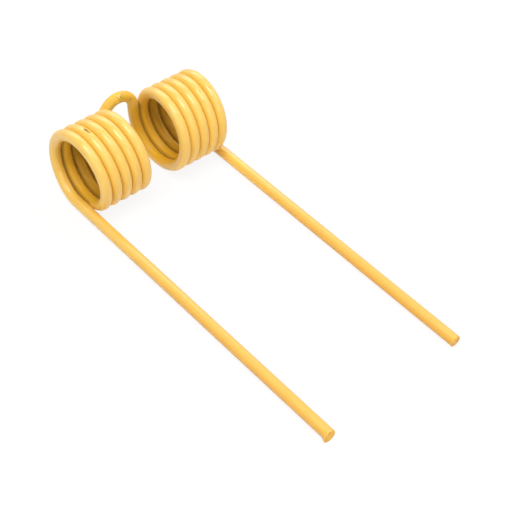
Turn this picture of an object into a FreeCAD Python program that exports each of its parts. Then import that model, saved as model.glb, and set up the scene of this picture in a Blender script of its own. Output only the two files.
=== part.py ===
"""Baler pick-up tine: one length of round spring wire, bent into leg, coil, centre loop, coil and leg.

Frame: +X along the common axis of the coils, +Z up, legs towards -Y, origin on that axis midway between the
coils. The tine lies on the undersides of its coils and legs. Lengths are in millimetres, angles in degrees.
"""
import FreeCAD, Part
import math
import os
from FreeCAD import Vector

# Wire, with its coat of paint
wire_diameter = 5.5

# Coils, alike and of opposite hand
coil_bore = 31.5        # clear width through a coil
coil_turns = 5          # whole turns in each coil, before the quarter turn into the loop
turn_gap = 0.15         # between neighbouring turns, square to the wire

# Last turn of a coil, which opens a little and then squares up to the leg
end_turn_span = 60.0    # of the turn, counted from the leg
end_turn_offset = 0.05  # the leg's stand-off from a plain helix, along the axis

# Centre loop
loop_width = 17.9       # between the centres of its two sides, where they leave the coils
loop_side = 5.5         # straight part of each side
loop_angle = 90.0       # place of the loop round the coil: 0 is the underside, 90 the back

# Legs
leg_reach = 172.0       # from the axis of the coils to the tips
leg_toe_in = 0.35       # of each leg, towards the other

# Cropped tips: the shear leaves a lip on the side where it broke through
tip_length = 3.2        # end of the wire that the shear flared
tip_lip_near = 1.0      # how far the lip stands out, on the leg at -X
tip_lip_far = 0.2       # the same on the leg at +X
tip_lean_near = 6.0     # lean of the end face on the leg at -X, its underside further out
tip_lean_far = 0.0      # the same on the leg at +X
tip_round = 0.3         # paint drawn round the edge of the end face

# Worked out from the above
wire_radius = wire_diameter / 2
coil_radius = (coil_bore + wire_diameter) / 2
lead = math.asin((wire_diameter + turn_gap) / (2 * math.pi * coil_radius))
pitch = 2 * math.pi * coil_radius * math.tan(lead)
leg_turn_in = math.radians(leg_toe_in)
wound = math.radians(360 * coil_turns + loop_angle)
opening = math.radians(end_turn_span)
slope = -pitch / (2 * math.pi)
inner_x = loop_width / 2
opening_x = inner_x - slope * (wound - opening)
leg_x = inner_x - slope * wound + end_turn_offset


def on_coil(curve):
    """Lay a curve drawn in (angle, axial place) on the cylinder of the +X coil's wire centre."""
    cylinder = Part.Cylinder()
    cylinder.Radius = coil_radius
    edge = curve.toShape(cylinder)
    angle_zero, quarter_turn, axis = Vector(0, 0, -1), Vector(0, 1, 0), Vector(1, 0, 0)
    edge.Placement = FreeCAD.Placement(Vector(), FreeCAD.Rotation(angle_zero, quarter_turn, axis))
    return edge


def last_turn():
    """The coil's end, from square to the leg to the slope of the plain helix."""
    third = opening / 3
    leg_slope = coil_radius * math.tan(leg_turn_in)
    curve = Part.Geom2d.BezierCurve2d()
    curve.setPoles([
        FreeCAD.Base.Vector2d(0, leg_x),
        FreeCAD.Base.Vector2d(third, leg_x + leg_slope * third),
        FreeCAD.Base.Vector2d(2 * third, opening_x - slope * third),
        FreeCAD.Base.Vector2d(opening, opening_x),
    ])
    return on_coil(curve)


def plain_helix():
    """The close-wound turns, a straight line on the unrolled cylinder, as a row of half turns."""
    count = math.ceil((wound - opening) / math.pi)
    step = (wound - opening) / count
    edges = []
    for place in range(count):
        start = FreeCAD.Base.Vector2d(opening + place * step, opening_x + slope * place * step)
        end = FreeCAD.Base.Vector2d(start.x + step, start.y + slope * step)
        edges.append(on_coil(Part.Geom2d.Line2dSegment(start, end)))
    return edges


def leg():
    """The straight leg, from where the tip's flare starts to the underside of the coil."""
    bottom = Vector(leg_x, 0, -coil_radius)
    outward = Vector(-math.sin(leg_turn_in), -math.cos(leg_turn_in), 0)
    flare = bottom + outward * (leg_reach / math.cos(leg_turn_in) - tip_length)
    return Part.LineSegment(flare, bottom).toShape()


def loop_half():
    """One side of the centre loop and half of its bend, up to the mirror plane."""
    angle = math.radians(loop_angle)
    up = Vector(0, math.cos(angle), math.sin(angle))
    foot = Vector(inner_x, coil_radius * math.sin(angle), -coil_radius * math.cos(angle))
    along = Vector(-math.sin(lead), 0, 0) + up * math.cos(lead)
    shoulder = foot + along * loop_side
    bend_radius = shoulder.x / math.cos(lead)
    centre = Vector(0, shoulder.y, shoulder.z) - up * (bend_radius * math.sin(lead))
    halfway = math.radians(45) + lead / 2
    middle = centre + Vector(math.cos(halfway), 0, 0) * bend_radius + up * (math.sin(halfway) * bend_radius)
    top = centre + up * bend_radius
    side = Part.LineSegment(foot, shoulder).toShape()
    return [side, Part.Arc(shoulder, middle, top).toShape()]


def mirrored(edge):
    return edge.mirror(Vector(), Vector(1, 0, 0)).Edges[0]


def wire_between_tips():
    """Sweep the round section along the whole bent centreline."""
    half = [leg(), last_turn()] + plain_helix() + loop_half()
    other = [mirrored(edge) for edge in reversed(half)]
    path = Part.Wire(Part.__sortEdges__(half + other))
    start = path.OrderedVertexes[0].Point
    run = path.OrderedVertexes[1].Point - start
    section = Part.Wire(Part.Circle(start, run, wire_radius).toShape())
    return path.makePipeShell([section], True, False)


def cropped_tip(side, lip, lean):
    """The end of a leg, flared over its last millimetres into the lip that the shear left."""
    turn_in, lean_angle = side * leg_turn_in, math.radians(lean)
    outward = Vector(-math.sin(turn_in), -math.cos(turn_in), 0)
    lip_way = Vector(-math.cos(turn_in), math.sin(turn_in), 0)
    end = Vector(side * leg_x, 0, -coil_radius) + outward * (leg_reach / math.cos(turn_in))
    start = end - outward * tip_length
    sections = [Part.Wire(Part.Circle(start, outward, wire_radius).toShape())]
    for along, share in ((0.5, 0.2), (1, 1)):
        spread = lip * share / 2
        tilt = lean_angle * share
        centre = start + outward * (tip_length * along) + lip_way * spread
        upper = Vector(0, 0, math.cos(tilt)) - outward * math.sin(tilt)
        oval = Part.Ellipse(centre + lip_way * (wire_radius + spread), centre + upper * wire_radius, centre)
        sections.append(Part.Wire(oval.toShape()))
    flare = Part.makeLoft(sections, True)
    rim = max(flare.Edges, key=lambda edge: -edge.CenterOfMass.y)
    return flare.makeFillet(tip_round, [rim])


def spring_tine():
    body = wire_between_tips()
    tips = [cropped_tip(-1, tip_lip_near, tip_lean_near), cropped_tip(1, tip_lip_far, tip_lean_far)]
    return body.fuse(tips).Solids[0]


os.makedirs("parts", exist_ok=True)
spring_tine().exportStep("parts/spring_tine.step")
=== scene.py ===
"""Looks of the baler pick-up tine: the bent, cropped and painted wire, its studio floor, light and camera.

Lengths are in metres, in the part's own frame: +X along the coils, legs towards -Y, +Z up. Turns round a coil
are counted from its underside, towards the back.
"""

import math
from types import SimpleNamespace

import bmesh
import bpy
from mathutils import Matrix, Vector, kdtree


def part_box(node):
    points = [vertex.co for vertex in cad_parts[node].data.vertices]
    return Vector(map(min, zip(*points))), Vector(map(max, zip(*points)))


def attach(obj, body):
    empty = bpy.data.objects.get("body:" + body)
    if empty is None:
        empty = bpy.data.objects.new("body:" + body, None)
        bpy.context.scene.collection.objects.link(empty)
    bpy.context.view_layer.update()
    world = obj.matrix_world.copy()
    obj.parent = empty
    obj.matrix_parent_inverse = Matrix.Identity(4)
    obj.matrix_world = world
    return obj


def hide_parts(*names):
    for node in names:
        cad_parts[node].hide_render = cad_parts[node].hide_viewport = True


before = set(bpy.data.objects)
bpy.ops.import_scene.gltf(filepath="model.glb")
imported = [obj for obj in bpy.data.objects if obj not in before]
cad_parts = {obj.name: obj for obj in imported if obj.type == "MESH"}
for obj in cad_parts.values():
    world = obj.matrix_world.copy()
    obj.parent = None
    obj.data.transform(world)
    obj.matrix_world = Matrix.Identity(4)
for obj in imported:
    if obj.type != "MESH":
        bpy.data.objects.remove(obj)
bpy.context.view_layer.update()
lowest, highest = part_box("spring_tine")

# The wire and its coils
wire_radius = 0.00275
wire_sides = 40
coil_radius = highest.z - wire_radius
coil_turns = 5
turn_gap = 0.00015
ring_step = math.radians(3)

# The last turn of a coil, opening towards the leg
end_turn_span = math.radians(60)
end_turn_offset = 0.00005

# Centre loop
loop_width = 0.0179
loop_side = 0.0055
loop_angle = math.radians(90)
loop_side_rings = 6
loop_bend_rings = 24

# Legs
leg_reach = 0.172
leg_toe_in = math.radians(0.35)
leg_rings = 84

# Cropped tips: the lip that the shear left, and the lean of the cut
tip_length = 0.0032
tip_lip_near = 0.0010
tip_lip_far = 0.0002
tip_lean_near = math.radians(6)
tip_lean_far = 0.0
tip_round = 0.0003
tip_rings = 10
tip_round_rings = 4
tip_face_rings = 5
flare_power = 2.3

# Creases between turns that lie side by side: where the contact starts, counted from the end of the coil, how
# fast it sets in, and how soon it ends on the leg. Then the share of the gap that one side's paint fills, and
# how far out on the wire's radius the filling starts and is full.
first_contact = math.radians(330)
contact_fade = math.radians(15)
leg_contact = 0.010
fill_share = 0.45
fill_starts = 0.93
fill_full = 0.985

# Steps of the wire's line for each ring of a coil or leg, how near two points are taken as one, and the
# sharpest edge that is shaded smooth
line_steps = 2
tiny = 1e-6
smooth_edge = math.radians(35)

# Worked out from the above
lead = math.asin((2 * wire_radius + turn_gap) / (2 * math.pi * coil_radius))
slope = -coil_radius * math.tan(lead)
wound = 2 * math.pi * coil_turns + loop_angle
inner_x = loop_width / 2
opening_x = inner_x - slope * (wound - end_turn_span)
leg_x = inner_x - slope * wound + end_turn_offset
bend_start_x = inner_x - loop_side * math.sin(lead)
bend_radius = bend_start_x / math.cos(lead)
bend_centre_z = loop_side * math.cos(lead) - bend_radius * math.sin(lead)
half_loop_length = loop_side + bend_radius * (math.pi / 2 - lead)
turn_length = 2 * math.pi * coil_radius
coil_length = coil_radius * wound
leg_start = half_loop_length + coil_length


def edit_mode(piece):
    """Open a piece for editing, by its points."""
    bpy.ops.object.select_all(action="DESELECT")
    bpy.context.view_layer.objects.active = piece
    piece.select_set(True)
    bpy.ops.object.mode_set(mode="EDIT")
    bpy.ops.mesh.select_mode(type="VERT")


def object_mode():
    bpy.ops.object.mode_set(mode="OBJECT")


def choose(piece, test):
    """Select the points of the piece in edit mode whose place passes a test, and what lies between them."""
    mesh = bmesh.from_edit_mesh(piece.data)
    for point in mesh.verts:
        point.select_set(test(point.co))
    mesh.select_flush_mode()
    bmesh.update_edit_mesh(piece.data)


def on_coil(x, turn):
    """A place on the line of a coil's wire."""
    return Vector((x, coil_radius * math.sin(turn), -coil_radius * math.cos(turn)))


def outward(turn):
    """The way from the coils' axis to the wire."""
    return Vector((0, math.sin(turn), -math.cos(turn)))


def wire_rim(x, turn):
    """A rim of the wire, as a circle across it."""
    across_wire = (turn - math.pi / 2, 0, 0)
    bpy.ops.mesh.primitive_circle_add(
        vertices=wire_sides, radius=wire_radius, location=on_coil(x, turn), rotation=across_wire
    )
    bpy.ops.object.transform_apply(location=True, rotation=True, scale=True)
    return bpy.context.object


def close_wound_turns():
    """The plain helix: one rim screwed round the coils' axis."""
    turns = wire_rim(opening_x, end_turn_span)
    count = round((wound - end_turn_span) / ring_step)
    screw = turns.modifiers.new("turns", "SCREW")
    screw.axis = "X"
    screw.angle = (wound - end_turn_span) / coil_turns
    screw.screw_offset = slope * screw.angle
    screw.iterations = coil_turns
    screw.steps = round(count / coil_turns)
    screw.render_steps = screw.steps
    screw.use_merge_vertices = False
    bpy.ops.object.modifier_apply(modifier=screw.name)
    return turns


def last_turn_x(turn):
    """Place along the axis of the last turn, which squares up to the leg."""
    share = turn / end_turn_span
    third = end_turn_span / 3
    poles = (leg_x, leg_x + coil_radius * math.tan(leg_toe_in) * third, opening_x - slope * third, opening_x)
    weights = ((1 - share) ** 3, 3 * (1 - share) ** 2 * share, 3 * (1 - share) * share**2, share**3)
    return sum(pole * weight for pole, weight in zip(poles, weights))


def last_turn_and_leg():
    """The last turn spun back to the underside of the coil, then the leg drawn out from it."""
    piece = wire_rim(opening_x, end_turn_span)
    edit_mode(piece)
    bpy.ops.mesh.select_all(action="SELECT")
    bpy.ops.mesh.spin(
        steps=round(end_turn_span / ring_step), angle=end_turn_span, center=(0, 0, 0), axis=(1, 0, 0)
    )
    mesh = bmesh.from_edit_mesh(piece.data)
    for point in mesh.verts:
        turn = math.atan2(point.co.y, -point.co.z)
        point.co.x += last_turn_x(min(max(turn, 0), end_turn_span)) - opening_x
    bmesh.update_edit_mesh(piece.data)
    choose(piece, lambda place: abs(place.y) < tiny and place.z < 0)
    way = Vector((-math.sin(leg_toe_in), -math.cos(leg_toe_in), 0))
    length = leg_reach / math.cos(leg_toe_in) - tip_length
    step = way * (length / leg_rings)
    for _ in range(leg_rings):
        bpy.ops.mesh.extrude_region_move(TRANSFORM_OT_translate={"value": step})
    object_mode()
    return piece


def half_loop():
    """One side of the centre loop drawn up from the coil, and half of its bend."""
    piece = wire_rim(inner_x, wound)
    edit_mode(piece)
    bpy.ops.mesh.select_all(action="SELECT")
    along = Vector((-math.sin(lead), 0, math.cos(lead)))
    step = along * (loop_side / loop_side_rings)
    for _ in range(loop_side_rings):
        bpy.ops.mesh.extrude_region_move(TRANSFORM_OT_translate={"value": step})
    shoulder = on_coil(inner_x, wound) + along * loop_side
    bpy.ops.transform.rotate(value=lead, orient_axis="Y", center_override=shoulder)
    centre = (0, coil_radius, bend_centre_z)
    bpy.ops.mesh.spin(steps=loop_bend_rings, angle=math.pi / 2 - lead, center=centre, axis=(0, 1, 0))
    object_mode()
    return piece


def joined(name, pieces):
    """Join pieces whose rims meet, and merge the rims."""
    bpy.ops.object.select_all(action="DESELECT")
    for piece in pieces:
        piece.select_set(True)
    bpy.context.view_layer.objects.active = pieces[0]
    bpy.ops.object.join()
    whole = bpy.context.object
    whole.name = name
    edit_mode(whole)
    bpy.ops.mesh.select_all(action="SELECT")
    bpy.ops.mesh.remove_doubles(threshold=tiny)
    object_mode()
    return whole


def crop_tip(tine, side, lip, lean):
    """Draw out the end of a leg into its flare and lip, round its rim and close it."""
    turn_in = side * leg_toe_in
    way = Vector((-math.sin(turn_in), -math.cos(turn_in), 0))
    length = leg_reach / math.cos(turn_in) - tip_length
    flare_start = Vector((side * leg_x, 0, -coil_radius)) + way * length

    def on_rim(point):
        return abs(point.x - flare_start.x) < 2 * wire_radius and point.y < flare_start.y + tiny

    edit_mode(tine)
    choose(tine, on_rim)
    place = flare_start.copy()
    share = 0.0
    for ring in range(tip_rings):
        new_share = ((ring + 1) / tip_rings) ** flare_power
        step = way * ((tip_length - tip_round) / tip_rings) + Vector((-lip * (new_share - share) / 2, 0, 0))
        bpy.ops.mesh.extrude_region_move(TRANSFORM_OT_translate={"value": step})
        place += step
        growth = (2 * wire_radius + lip * new_share) / (2 * wire_radius + lip * share)
        bpy.ops.transform.resize(value=(growth, 1, 1), center_override=place)
        bpy.ops.transform.rotate(value=lean * (new_share - share), orient_axis="X", center_override=place)
        share = new_share
    for ring in range(tip_round_rings):
        turn, next_turn = [math.pi / 2 * (ring + step) / tip_round_rings for step in (0, 1)]
        step = way * (tip_round * (math.sin(next_turn) - math.sin(turn)))
        bpy.ops.mesh.extrude_region_move(TRANSFORM_OT_translate={"value": step})
        place += step
        rim = [wire_radius - tip_round * (1 - math.cos(angle)) for angle in (turn, next_turn)]
        bpy.ops.transform.resize(value=(rim[1] / rim[0],) * 3, center_override=place)
    bpy.ops.mesh.edge_face_add()
    for _ in range(tip_face_rings):
        bpy.ops.mesh.inset(thickness=(wire_radius - tip_round) / (tip_face_rings + 1))
    bpy.ops.mesh.poke()
    object_mode()


def coil_x(turn):
    """Place along the axis of the +X coil's wire, on any of its turns."""
    return last_turn_x(turn) if turn < end_turn_span else inner_x - slope * (wound - turn)


def wire_line():
    """One half of the wire's line, from the top of the loop to the tip: place, way off the coils, turn."""
    line = []
    back = Vector((0, 1, 0))
    centre = Vector((0, coil_radius, bend_centre_z))
    for ring in range(loop_bend_rings):
        angle = (math.pi / 2 - lead) * ring / loop_bend_rings
        place = centre + bend_radius * Vector((math.sin(angle), 0, math.cos(angle)))
        line.append((place, back, wound + place.z / coil_radius))
    for ring in range(loop_side_rings):
        along = Vector((-math.sin(lead), 0, math.cos(lead))) * (loop_side * (1 - ring / loop_side_rings))
        line.append((on_coil(inner_x, wound) + along, back, wound + along.z / coil_radius))
    count = round(wound / ring_step * line_steps)
    for ring in range(count):
        turn = wound * (1 - ring / count)
        line.append((on_coil(coil_x(turn), turn), outward(turn), turn))
    tip = Vector((-math.tan(leg_toe_in), -1, 0)) * leg_reach
    count = line_steps * leg_rings
    for ring in range(count + 1):
        line.append((on_coil(leg_x, 0) + tip * (ring / count), outward(0), 0))
    return line


def wire_stations():
    """The wire's line with its direction and its length from the top of the loop, and a tree to search it."""
    line = wire_line()
    stations = []
    distance = 0.0
    for (place, away, turn), (following, _, _) in zip(line, line[1:] + [line[-1]]):
        step = following - place
        ahead = step.normalized() if step.length else stations[-1][1]
        stations.append((place, ahead, away, turn, distance))
        distance += step.length
    tree = kdtree.KDTree(len(stations))
    for number, station in enumerate(stations):
        tree.insert(station[0], number)
    tree.balance()
    return stations, tree


def smooth_step(value, start, end):
    """A smooth rise from 0 to 1 as the value goes from start to end."""
    share = min(max((value - start) / (end - start), 0), 1)
    return share * share * (3 - 2 * share)


def contact_at(turn, distance, reach):
    """Whether a side of the wire lies against the next turn: 1 there, fading to 0 on the loop and the leg."""
    from_end = turn if reach > 0 else wound - turn
    beside = smooth_step(from_end, first_contact, first_contact + contact_fade)
    on_loop = smooth_step(turn, wound, wound + contact_fade)
    on_leg = smooth_step(distance, leg_start, leg_start + leg_contact)
    return beside * (1 - on_loop) * (1 - on_leg)


def mark_places(tine):
    """Keep for each point its place on the wire: along it from the loop, away from the coils' axis, sideways.

    The second mark rises to 1 in the crease between two turns that lie side by side, and fades out where the
    loop and the leg leave them. There the paint has run together, so both sides are drawn out until they all
    but touch.
    """
    filled = wire_radius + fill_share * turn_gap
    stations, tree = wire_stations()
    wire_places = []
    creases = []
    for point in tine.data.vertices:
        side = 1 if point.co.x > 0 else -1
        spot = Vector((abs(point.co.x), point.co.y, point.co.z))
        place, ahead, away, turn, distance = stations[tree.find(spot)[1]]
        off = spot - place
        across = ahead.cross(away)
        sideways = off.dot(across)
        wire_places.extend((side * (distance + off.dot(ahead)), off.dot(away), side * sideways))
        reach = sideways / wire_radius
        contact = contact_at(turn, distance, reach)
        creases.append(contact * abs(reach))
        drawn = contact * smooth_step(abs(reach), fill_starts, fill_full) * (filled - abs(sideways))
        drawn_way = across * math.copysign(drawn, sideways)
        point.co += Vector((side * drawn_way.x, drawn_way.y, drawn_way.z))
    tine.data.attributes.new("wire_place", "FLOAT_VECTOR", "POINT").data.foreach_set("vector", wire_places)
    tine.data.attributes.new("crease", "FLOAT", "POINT").data.foreach_set("value", creases)


def tine_wire():
    """The whole wire: one half and its mirror image, with a crop of its own on each leg."""
    tine = joined("painted_tine", [close_wound_turns(), last_turn_and_leg(), half_loop()])
    mirror = tine.modifiers.new("other half", "MIRROR")
    mirror.merge_threshold = 10 * tiny
    bpy.ops.object.modifier_apply(modifier=mirror.name)
    crop_tip(tine, -1, tip_lip_near, tip_lean_near)
    crop_tip(tine, 1, tip_lip_far, tip_lean_far)
    edit_mode(tine)
    bpy.ops.mesh.select_all(action="SELECT")
    bpy.ops.mesh.normals_make_consistent(inside=False)
    object_mode()
    bpy.ops.object.shade_smooth_by_angle(angle=smooth_edge)
    mark_places(tine)
    return tine


# Colours of the paint, of what lies on it and of the shade painted on it, in linear light
paint_yellow = (0.885, 0.546, 0.103, 1)
paint_deep = (0.865, 0.515, 0.086, 1)
# Amber of the legs, deepened on their underside as painted shade
leg_amber_and_shade = (0.79, 0.37, 0.025, 1)
# Painted shade in the coils' bore
bore_shade_yellow = (0.79, 0.43, 0.018, 1)
# Grime in the bore, with painted shade in it
grime_and_shade_olive = (0.36, 0.20, 0.006, 1)
# The next two colours are painted shade in the creases between turns: inside the coils, and on their outside
crease_shade_brown = (0.26, 0.14, 0.008, 1)
crease_shade_olive = (0.62, 0.39, 0.035, 1)
# Wear with painted shade on the front of the centre loop
loop_wear_shade_ochre = (0.68, 0.40, 0.022, 1)
tip_tan = (0.92, 0.52, 0.08, 1)
chip_brown = (0.30, 0.17, 0.022, 1)
scuff_olive = (0.55, 0.38, 0.10, 1)
scuff_cream = (0.88, 0.68, 0.27, 1)
scuff_red = (0.66, 0.30, 0.10, 1)

# Chips and scuffs that show from above: place, half size, colour and strength
marks = (
    ((-0.0300, 0.0011, 0.0212), (0.0007, 0.0014, 0.001), chip_brown, 0.95),
    ((-0.0298, -0.0008, 0.0212), (0.0006, 0.0011, 0.001), chip_brown, 0.7),
    ((-0.0293, -0.0012, 0.0212), (0.0003, 0.0009, 0.001), scuff_red, 0.4),
    ((-0.0364, -0.0045, 0.0207), (0.0003, 0.0012, 0.001), scuff_olive, 0.4),
    ((-0.0377, -0.0093, 0.0176), (0.0012, 0.0004, 0.001), scuff_red, 0.25),
    ((-0.0301, -0.0046, 0.0207), (0.0004, 0.0006, 0.001), scuff_olive, 0.3),
    ((-0.0243, -0.0041, 0.0208), (0.0004, 0.0006, 0.001), scuff_olive, 0.3),
    ((0.0004, 0.0158, 0.0145), (0.0020, 0.0008, 0.001), chip_brown, 0.3),
    ((0.0004, 0.0171, 0.0161), (0.0007, 0.0004, 0.001), scuff_cream, 0.7),
    ((-0.0006, 0.0167, 0.0158), (0.0006, 0.0004, 0.001), scuff_cream, 0.6),
    ((0.0006, 0.0165, 0.0155), (0.0006, 0.0004, 0.0008), chip_brown, 0.55),
    ((-0.0012, 0.0166, 0.0157), (0.0005, 0.0003, 0.0008), chip_brown, 0.5),
    ((0.0018, 0.0172, 0.0160), (0.0010, 0.0008, 0.001), scuff_red, 0.5),
    ((0.0057, 0.0158, 0.0116), (0.0010, 0.0005, 0.001), chip_brown, 0.2),
    ((0.0355, -0.0034, 0.0209), (0.0002, 0.0012, 0.001), chip_brown, 0.3),
    ((0.0354, -0.0083, 0.0195), (0.0004, 0.0008, 0.001), chip_brown, 0.3),
    ((0.0299, -0.0073, 0.0200), (0.0004, 0.0006, 0.001), scuff_olive, 0.3),
    ((0.0351, -0.1700, -0.0192), (0.0006, 0.0005, 0.0006), chip_brown, 0.7),
    ((0.0389, -0.1718, -0.0185), (0.0008, 0.0004, 0.0022), scuff_red, 0.5),
    ((-0.0384, -0.1718, -0.0164), (0.0006, 0.0006, 0.0006), scuff_red, 0.8),
)

# Edge of a mark, in its half sizes, and how it frays; depth of a chip against the unevenness of the enamel
chip_edge = (1.15, 0.8)
chip_ragged = 0.8
chip_noise_scale = 1400
chip_depth = 1.5

# Streaks along the wire, as length and width, and the sizes of the enamel's unevenness
grime_streak = (0.016, 0.0024)
tone_streak = (0.009, 0.0022)
peel_size = 0.0013
peel_share = 0.1
sag_size = 0.006

# Below, a fade is the value where a mask starts, the value where it is full, and its low and high share where
# they aren't 0 and 1. The first fades are across the coil: from the wire's outer half to the bore.
inner_half_fade = (coil_radius + 0.0002, coil_radius - 0.0002)
bore_fade = (coil_radius - 0.0004, coil_radius - 0.0022)

# Painted shade in the bore, and grime on it with more painted shade: along the wire from the leg or the loop,
# and by height
bore_shade_fade = (0.1 * turn_length, 1.1 * turn_length, 0.25, 1)
bore_shade_share = 0.9
depth_shade_fade = (turn_length, 2.2 * turn_length)
least_depth_shade = 0.15
height_shade_fade = (-0.016, -0.002, 0.4, 1)
grime_streak_fade = (0.3, 0.7, 0.5, 0.95)

# Painted shade in the creases, by their mark
outer_crease_fade = (0.84, 0.99, 0, 0.4)
inner_crease_fade = (0.55, 0.95, 0, 0.6)
crease_line_fade = (0.78, 0.98)
crease_line_share = 0.05

# Legs: amber along them, where the distance before the leg is below 0, and round the wire, deepest on the
# underside as painted shade; faces of the tips
amber_along_fade = (-0.005, -0.09)
amber_underside_shade_fade = (-wire_radius, 0.3 * wire_radius, 0.4, 1)
tip_face_fade = (0.0007 - leg_reach, 0.0003 - leg_reach)
tip_face_share = 0.6

# Centre loop, worn and with painted shade on its front: along the wire, on its two sides, from back to front,
# and in streaks
loop_fade = (half_loop_length + 0.003, half_loop_length + 0.002)
loop_left_fade = (-0.009, -0.001, 0.15, 1)
loop_right_fade = (0.003, 0.010, 1, 0.35)
loop_front_fade = (0.6 * wire_radius, -0.6 * wire_radius)
handled_streak_fade = (0.3, 0.65, 0.25, 0.8)

# Tone and gloss of the sound paint, and where its clear coat is held back
deep_paint_fade = (0.35, 0.7, 0, 0.25)
roughness_fade = (0.3, 0.7, 0.38, 0.44)
dull_roughness = 0.2
matt_inside_share = 0.7
matt_crease_fade = (0.4, 0.85)
matt_leg_fade = (0.0, -0.03)
matt_underside_fade = (-0.2 * wire_radius, 0.3 * wire_radius)
matt_loop_fade = (half_loop_length + 0.002, half_loop_length - 0.004, 0, 0.85)
matt_grazing_fade = (0.5, 0.85)


def add(tree, kind, inputs, **settings):
    """Add a node; an input is a plain value or another node's output."""
    node = tree.nodes.new("ShaderNode" + kind)
    for name, value in settings.items():
        setattr(node, name, value)
    for name, value in inputs.items():
        if isinstance(value, bpy.types.NodeSocket):
            tree.links.new(value, node.inputs[name])
        else:
            node.inputs[name].default_value = value
    return node


def maths(tree, operation, first, *others):
    """One value worked out from several, taken two at a time, or from a single one."""
    for other in others or (0.0,):
        first = add(tree, "Math", {0: first, 1: other}, operation=operation).outputs[0]
    return first


def vectors(tree, operation, first, second, output="Vector"):
    return add(tree, "VectorMath", {0: first, 1: second}, operation=operation).outputs[output]


def ramp(tree, value, start, end, low=0.0, high=1.0):
    """A smooth rise from low to high as the value goes from start to end."""
    inputs = {"Value": value, "From Min": start, "From Max": end, "To Min": low, "To Max": high}
    return add(tree, "MapRange", inputs, interpolation_type="SMOOTHSTEP").outputs[0]


def opposite(tree, mask):
    """1 where a mask is 0, falling smoothly to 0 where it is 1."""
    return ramp(tree, mask, 0, 1, 1, 0)


def overlay(tree, share, below, above):
    """One colour laid over another by a mask."""
    return add(tree, "Mix", {0: share, 6: below, 7: above}, data_type="RGBA").outputs[2]


def new_group(name, inputs, outputs):
    """A node group with named sockets, and the ends inside it."""
    tree = bpy.data.node_groups.new(name, "ShaderNodeTree")
    for socket, kind in inputs.items():
        tree.interface.new_socket(socket, in_out="INPUT", socket_type=kind)
    for socket in outputs:
        tree.interface.new_socket(socket, in_out="OUTPUT", socket_type="NodeSocketFloat")
    return tree, tree.nodes.new("NodeGroupInput").outputs, tree.nodes.new("NodeGroupOutput").inputs


def chip_group():
    """A ragged spot: 1 inside it and 0 outside."""
    sockets = {name: "NodeSocketVector" for name in ("Place", "Centre", "Half Size")}
    tree, given, made = new_group("paint_chip", sockets | {"Ragged": "NodeSocketFloat"}, ("Chip",))
    off_centre = vectors(tree, "SUBTRACT", given["Place"], given["Centre"])
    local = vectors(tree, "DIVIDE", off_centre, given["Half Size"])
    noise = add(tree, "TexNoise", {"Vector": given["Place"], "Scale": chip_noise_scale, "Detail": 2})
    wander = vectors(tree, "SUBTRACT", noise.outputs["Color"], (0.5, 0.5, 0.5))
    ragged = add(tree, "VectorMath", {0: wander, "Scale": given["Ragged"]}, operation="SCALE").outputs[0]
    reach = vectors(tree, "LENGTH", vectors(tree, "ADD", local, ragged), (0, 0, 0), "Value")
    tree.links.new(ramp(tree, reach, *chip_edge), made["Chip"])
    return tree


def streak_group():
    """Streaks drawn out along the wire."""
    sockets = {"Wire Place": "NodeSocketVector", "Length": "NodeSocketFloat", "Width": "NodeSocketFloat"}
    tree, given, made = new_group("wire_streaks", sockets, ("Streaks",))
    along = maths(tree, "DIVIDE", 1.0, given["Length"])
    across = maths(tree, "DIVIDE", 1.0, given["Width"])
    scale = add(tree, "CombineXYZ", {0: along, 1: across, 2: across}).outputs[0]
    stretched = vectors(tree, "MULTIPLY", given["Wire Place"], scale)
    streaks = add(tree, "TexNoise", {"Vector": stretched, "Scale": 1.0, "Detail": 3, "Roughness": 0.6})
    tree.links.new(streaks.outputs[0], made["Streaks"])
    return tree


def enamel_group():
    """The skin of sprayed enamel: a slow unevenness, and a fine orange peel on it."""
    sockets = {"Place": "NodeSocketVector", "Peel Size": "NodeSocketFloat", "Sag Size": "NodeSocketFloat"}
    tree, given, made = new_group("enamel_skin", sockets, ("Height", "Tone"))
    peel_scale = maths(tree, "DIVIDE", 1.0, given["Peel Size"])
    sag_scale = maths(tree, "DIVIDE", 1.0, given["Sag Size"])
    peel = add(tree, "TexNoise", {"Vector": given["Place"], "Scale": peel_scale, "Detail": 2}).outputs[0]
    sag = add(tree, "TexNoise", {"Vector": given["Place"], "Scale": sag_scale, "Detail": 1}).outputs[0]
    height = maths(tree, "ADD", maths(tree, "MULTIPLY", peel, peel_share), sag)
    tree.links.new(height, made["Height"])
    tree.links.new(sag, made["Tone"])
    return tree


def wire_spots(tree):
    """Where a point lies, on the part and on its wire, with the textures that go by that."""
    place = add(tree, "TexCoord", {}).outputs["Object"]
    _, place_y, place_z = add(tree, "SeparateXYZ", {0: place}).outputs
    wire_place = add(tree, "Attribute", {}, attribute_name="wire_place").outputs["Vector"]
    from_middle, outwards, _ = add(tree, "SeparateXYZ", {0: wire_place}).outputs
    along = maths(tree, "ABSOLUTE", from_middle)
    streaks = streak_group()
    grime_streaks, tone_streaks = [
        add(tree, "Group", {"Wire Place": wire_place, "Length": length, "Width": width}, node_tree=streaks)
        for length, width in (grime_streak, tone_streak)
    ]
    skin_inputs = {"Place": place, "Peel Size": peel_size, "Sag Size": sag_size}
    return SimpleNamespace(
        place=place,
        place_y=place_y,
        place_z=place_z,
        from_axis=vectors(tree, "LENGTH", vectors(tree, "MULTIPLY", place, (0, 1, 1)), (0, 0, 0), "Value"),
        from_middle=from_middle,
        along=along,
        outwards=outwards,
        past_loop=maths(tree, "SUBTRACT", along, half_loop_length),
        before_leg=maths(tree, "SUBTRACT", leg_start, along),
        crease=add(tree, "Attribute", {}, attribute_name="crease").outputs["Fac"],
        grime_streaks=grime_streaks.outputs[0],
        tone_streaks=tone_streaks.outputs[0],
        skin=add(tree, "Group", skin_inputs, node_tree=enamel_group()).outputs,
    )


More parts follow.
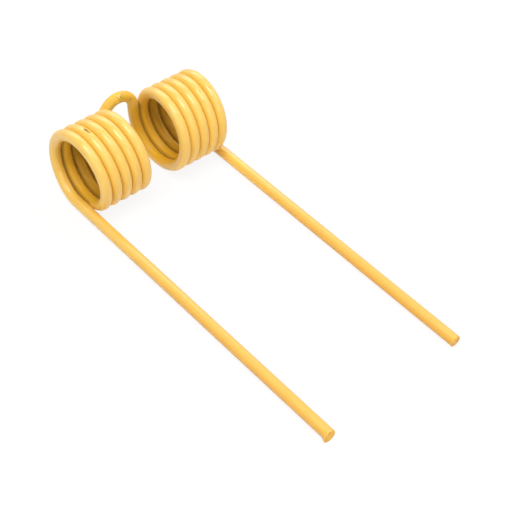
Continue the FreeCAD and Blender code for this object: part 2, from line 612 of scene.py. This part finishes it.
def bore_masks(tree, spot):
    """Painted shade inside a coil, and grime on it with more painted shade, darkest deep inside and least at
    the bottom.
    """
    bore = ramp(tree, spot.from_axis, *bore_fade)
    inside = maths(tree, "MULTIPLY", bore, ramp(tree, spot.before_leg, *bore_shade_fade))
    depth = ramp(tree, maths(tree, "MINIMUM", spot.past_loop, spot.before_leg), *depth_shade_fade)
    depth = maths(tree, "MAXIMUM", depth, least_depth_shade)
    streaks = ramp(tree, spot.grime_streaks, *grime_streak_fade)
    height = ramp(tree, spot.place_z, *height_shade_fade)
    return inside, maths(tree, "MULTIPLY", inside, streaks, depth, height)


def crease_masks(tree, spot):
    """Painted shade in the creases between turns: faint on the coils' outside, deep inside them."""
    inner_half = ramp(tree, spot.from_axis, *inner_half_fade)
    outer_half = opposite(tree, inner_half)
    faint_shade = maths(tree, "MULTIPLY", outer_half, ramp(tree, spot.crease, *outer_crease_fade))
    deep_shade = maths(tree, "MULTIPLY", inner_half, ramp(tree, spot.crease, *inner_crease_fade))
    line = maths(tree, "MULTIPLY", ramp(tree, spot.crease, *crease_line_fade), crease_line_share)
    return faint_shade, maths(tree, "MAXIMUM", line, deep_shade)


def loop_wear_and_shade_mask(tree, spot):
    """The front of the centre loop, worn and painted with shade, most round the top."""
    on_loop = ramp(tree, spot.along, *loop_fade)
    left_side = ramp(tree, spot.from_middle, *loop_left_fade)
    right_side = ramp(tree, spot.from_middle, *loop_right_fade)
    worn = ramp(tree, spot.tone_streaks, *handled_streak_fade)
    front = ramp(tree, spot.outwards, *loop_front_fade)
    return maths(tree, "MULTIPLY", on_loop, left_side, right_side, front, worn)


def matt_mask(tree, spot, inside, tip_face, dull):
    """Where the clear coat is held back: 1 where there is none."""
    leg_underside = ramp(tree, spot.outwards, *matt_underside_fade)
    facing = add(tree, "LayerWeight", {"Blend": 0.5}).outputs["Facing"]
    return maths(
        tree,
        "MAXIMUM",
        dull,
        maths(tree, "MULTIPLY", inside, matt_inside_share),
        ramp(tree, spot.crease, *matt_crease_fade),
        maths(tree, "MULTIPLY", ramp(tree, spot.before_leg, *matt_leg_fade), leg_underside),
        ramp(tree, spot.along, *matt_loop_fade),
        tip_face,
        ramp(tree, facing, *matt_grazing_fade),
    )


def chipped_paint(tree, spot, colour):
    """The colour with the chips and scuffs laid over it, and a mask of them all."""
    chips = chip_group()
    chipped = 0.0
    for centre, half_size, tint, strength in marks:
        chip_inputs = {"Place": spot.place, "Centre": centre, "Half Size": half_size, "Ragged": chip_ragged}
        chip = add(tree, "Group", chip_inputs, node_tree=chips).outputs["Chip"]
        colour = overlay(tree, maths(tree, "MULTIPLY", chip, strength), colour, tint)
        chipped = maths(tree, "MAXIMUM", chip, chipped)
    return colour, chipped


def yellow_paint():
    """Semi-gloss enamel with chips, scuffs and grime, and painted shade inside the coils, in their creases,
    on the loop's front and under the legs.
    """
    material = bpy.data.materials.new("yellow_paint")
    material.use_nodes = True
    tree = material.node_tree
    shader = tree.nodes["Principled BSDF"]
    spot = wire_spots(tree)
    inside, grime_and_shade = bore_masks(tree, spot)
    faint_crease_shade, deep_crease_shade = crease_masks(tree, spot)
    worn_and_shaded = loop_wear_and_shade_mask(tree, spot)
    # Deeper amber on the legs' underside, as painted shade
    amber_underside_shade = ramp(tree, spot.outwards, *amber_underside_shade_fade)
    tip_face = ramp(tree, spot.place_y, *tip_face_fade)

    colour = overlay(tree, ramp(tree, spot.tone_streaks, *deep_paint_fade), paint_yellow, paint_deep)
    # Laid over the paint: the legs' amber with painted shade beneath, and painted shade in the bore, the
    # creases and on the loop
    layers = (
        (maths(tree, "MULTIPLY", ramp(tree, spot.before_leg, *amber_along_fade), amber_underside_shade), leg_amber_and_shade),
        (maths(tree, "MULTIPLY", inside, bore_shade_share), bore_shade_yellow),
        (faint_crease_shade, crease_shade_olive),
        (grime_and_shade, grime_and_shade_olive),
        (worn_and_shaded, loop_wear_shade_ochre),
        (deep_crease_shade, crease_shade_brown),
        (maths(tree, "MULTIPLY", tip_face, tip_face_share), tip_tan),
    )
    for share, tint in layers:
        colour = overlay(tree, share, colour, tint)
    colour, chipped = chipped_paint(tree, spot, colour)
    tree.links.new(colour, shader.inputs["Base Color"])

    dull = maths(tree, "MAXIMUM", grime_and_shade, deep_crease_shade, chipped, worn_and_shaded)
    gloss = ramp(tree, spot.skin["Tone"], *roughness_fade)
    roughness = maths(tree, "ADD", gloss, maths(tree, "MULTIPLY", dull, dull_roughness))
    tree.links.new(roughness, shader.inputs["Roughness"])
    height = maths(tree, "SUBTRACT", spot.skin["Height"], maths(tree, "MULTIPLY", chipped, chip_depth))
    bump = add(tree, "Bump", {"Height": height, "Strength": 0.2, "Distance": 0.00006})
    tree.links.new(bump.outputs[0], shader.inputs["Normal"])
    coat = opposite(tree, matt_mask(tree, spot, inside, tip_face, dull))
    tree.links.new(coat, shader.inputs["Coat Weight"])
    shader.inputs["Coat Roughness"].default_value = 0.19
    shader.inputs["IOR"].default_value = 1.4
    shader.inputs["Specular IOR Level"].default_value = 0.25
    shader.inputs["Sheen Weight"].default_value = 0.2
    shader.inputs["Sheen Roughness"].default_value = 0.3
    shader.inputs["Sheen Tint"].default_value = (1, 0.8, 0.45, 1)
    return material


bpy.ops.object.select_all(action="DESELECT")
tine = tine_wire()
tine.data.materials.append(yellow_paint())
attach(tine, "root")
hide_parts("spring_tine")

# Studio: the share of plain white that the camera sees on the floor and behind it, the floor and the room
floor_plain_share = 0.88
world_plain_share = 1.0
floor_size = 6
floor_colour = (0.9, 0.9, 0.9, 1)
white = (1, 1, 1, 1)
room_light = 0.05

# Lamps a metre from the point they aim at: bearing from +X and height in degrees, width, depth, radiance
lamps_aim = Vector((0, -0.04, 0))
softboxes = {
    "overhead_softbox": (203, 76, 0.58, 0.38, 9.1),
    "left_softbox": (195, 38, 0.7, 0.4, 2.3),
    "front_softbox": (252, 32, 0.8, 0.4, 2.6),
    "right_softbox": (345, 50, 0.9, 0.6, 2.2),
    "back_softbox": (68, 40, 1.1, 0.6, 2.1),
}

# Camera of the photo: its place, its turn in degrees and its lens
camera_place = (-0.22896, -0.32183, 0.33971)
camera_turn = (43.1722, -2.3596, -41.3090)
camera_lens = 75.645
camera_nearest = 0.01


def ray_mix(tree, surface, plain, plain_share):
    """Show the plain surface, by its share, to the camera and in reflections, and the true one otherwise."""
    rays = add(tree, "LightPath", {}).outputs
    seen = maths(tree, "MAXIMUM", rays["Is Camera Ray"], rays["Is Glossy Ray"], rays["Is Transmission Ray"])
    share = maths(tree, "MULTIPLY", seen, plain_share)
    return add(tree, "MixShader", {0: share, 1: surface, 2: plain}).outputs[0]


def studio_floor():
    """A floor that takes the part's shadow, and is nearly as white as what lies behind it."""
    bpy.ops.mesh.primitive_plane_add(size=floor_size, location=(0, 0, lowest.z))
    floor = bpy.context.object
    floor.name = "studio_floor"
    material = bpy.data.materials.new("floor_white")
    material.use_nodes = True
    tree = material.node_tree
    tree.nodes.clear()
    matt = add(tree, "BsdfDiffuse", {"Color": floor_colour}).outputs[0]
    glow = add(tree, "Emission", {"Color": white, "Strength": 1.0}).outputs[0]
    add(tree, "OutputMaterial", {"Surface": ray_mix(tree, matt, glow, floor_plain_share)})
    floor.data.materials.append(material)


def studio_world():
    """A dim room that the camera sees as white."""
    world = bpy.data.worlds.new("studio")
    bpy.context.scene.world = world
    world.use_nodes = True
    tree = world.node_tree
    tree.nodes.clear()
    room = add(tree, "Background", {"Color": white, "Strength": room_light}).outputs[0]
    plain = add(tree, "Background", {"Color": white, "Strength": 1.0}).outputs[0]
    add(tree, "OutputWorld", {"Surface": ray_mix(tree, room, plain, world_plain_share)})


def softbox(name, bearing, height, width, depth, radiance):
    """A large soft lamp, turned to the point that all lamps aim at."""
    lamp = bpy.data.lights.new(name, "AREA")
    lamp.shape = "RECTANGLE"
    lamp.size = width
    lamp.size_y = depth
    lamp.energy = radiance * math.pi * width * depth
    level = math.cos(math.radians(height))
    turn = math.radians(bearing)
    way = Vector((math.cos(turn) * level, math.sin(turn) * level, math.sin(math.radians(height))))
    box = bpy.data.objects.new(name, lamp)
    box.location = lamps_aim + way
    box.rotation_euler = (-way).to_track_quat("-Z", "Y").to_euler()
    bpy.context.scene.collection.objects.link(box)


def photo_camera():
    """A plain camera where the photo's stood; it leaves out the slight bow of the photo's lens."""
    camera_data = bpy.data.cameras.new("camera")
    camera_data.sensor_width = 36
    camera_data.lens = camera_lens
    camera_data.clip_start = camera_nearest
    camera = bpy.data.objects.new("camera", camera_data)
    camera.location = camera_place
    camera.rotation_euler = [math.radians(angle) for angle in camera_turn]
    bpy.context.scene.collection.objects.link(camera)
    bpy.context.scene.camera = camera


studio_floor()
studio_world()
for name, numbers in softboxes.items():
    softbox(name, *numbers)
photo_camera()
bpy.context.scene.view_settings.view_transform = "Standard"
